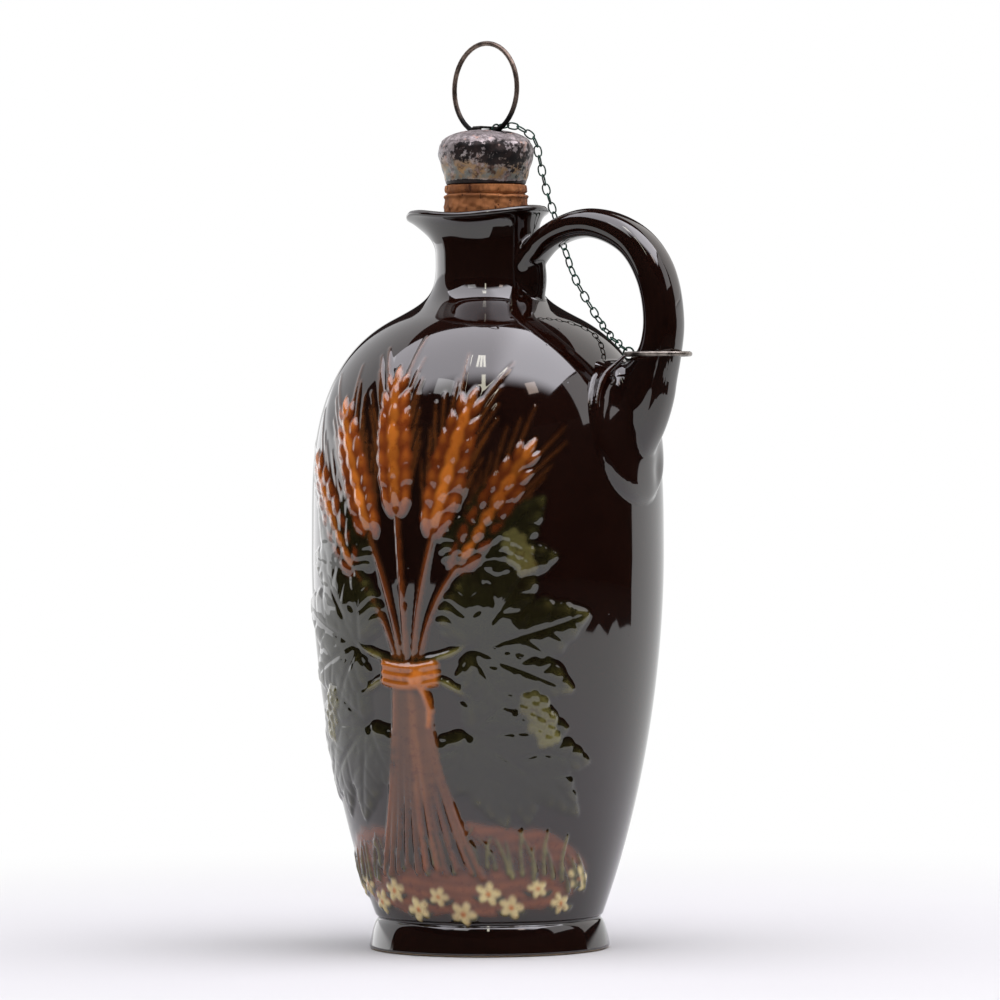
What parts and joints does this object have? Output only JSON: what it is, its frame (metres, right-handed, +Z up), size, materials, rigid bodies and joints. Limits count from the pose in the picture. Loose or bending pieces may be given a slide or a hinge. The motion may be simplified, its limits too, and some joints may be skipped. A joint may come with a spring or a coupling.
{
  "type": "stoneware spirit flask with stopper",
  "caption": "Glazed stoneware flask with a pouring lip and strap handle; a capped cork stopper with a pull ring hangs by a chain from a ring that slides on the handle.",
  "frame": {"origin": "centre of the flat underside of the foot", "axes": "+Z up along the flask's axis, +X towards the handle, -X towards the pouring lip, -Y towards the decorated front"},
  "size_m": [0.1133, 0.0988, 0.2538],
  "materials": {
    "treacle_glaze": "glossy dark brown salt glaze, with coloured slips on the relief",
    "handle_glaze": "glossy dark brown salt glaze",
    "cork": "natural cork, dry and pitted",
    "cap_metal": "worn plated white metal with tarnish",
    "ring_metal": "dull grey-brown steel wire",
    "chain_metal": "darkened metal with a green tint"
  },
  "bodies": {
    "flask": {"flask_body": "treacle_glaze", "handle": "handle_glaze"},
    "stopper": {"cork": "cork", "stopper_cap": "cap_metal", "ring_staple": "ring_metal", "chain_end_ring": "chain_metal", "chain_jump_ring": "chain_metal", "chain_link_01": "chain_metal", "chain_link_02": "chain_metal", "chain_link_03": "chain_metal", "chain_link_04": "chain_metal", "chain_link_05": "chain_metal", "chain_link_06": "chain_metal", "chain_link_07": "chain_metal", "chain_link_08": "chain_metal", "chain_link_09": "chain_metal", "chain_link_10": "chain_metal", "chain_link_11": "chain_metal", "chain_link_12": "chain_metal", "chain_link_13": "chain_metal", "chain_link_14": "chain_metal", "chain_link_15": "chain_metal", "chain_link_16": "chain_metal", "chain_link_17": "chain_metal", "chain_link_18": "chain_metal", "chain_link_19": "chain_metal", "chain_link_20": "chain_metal", "chain_link_21": "chain_metal", "chain_link_22": "chain_metal", "chain_link_23": "chain_metal", "chain_link_24": "chain_metal", "chain_link_25": "chain_metal", "chain_link_26": "chain_metal", "chain_link_27": "chain_metal", "chain_link_28": "chain_metal", "chain_link_29": "chain_metal", "chain_link_30": "chain_metal", "chain_link_31": "chain_metal"},
    "pull_ring": {"pull_ring": "ring_metal"},
    "collar": {"handle_ring": "ring_metal"}
  },
  "joints": [
    {"name": "stopper_lift", "type": "slide", "parent": "flask", "child": "stopper", "axis": [0, 0, 1], "range_m": [0, 0.022]},
    {"name": "pull_ring_swing", "type": "hinge", "parent": "stopper", "child": "pull_ring", "pos_m": [0, 0, 0.22835], "axis": [0.9583, -0.2857, 0], "range_deg": [-70, 70]},
    {"name": "handle_ring_slide", "type": "slide", "parent": "flask", "child": "collar", "axis": [0, 0, 1], "range_m": [0, 0.022]}
  ],
  "couplings": [
    {"joint": "handle_ring_slide", "follows": "stopper_lift", "ratio": 1}
  ]
}
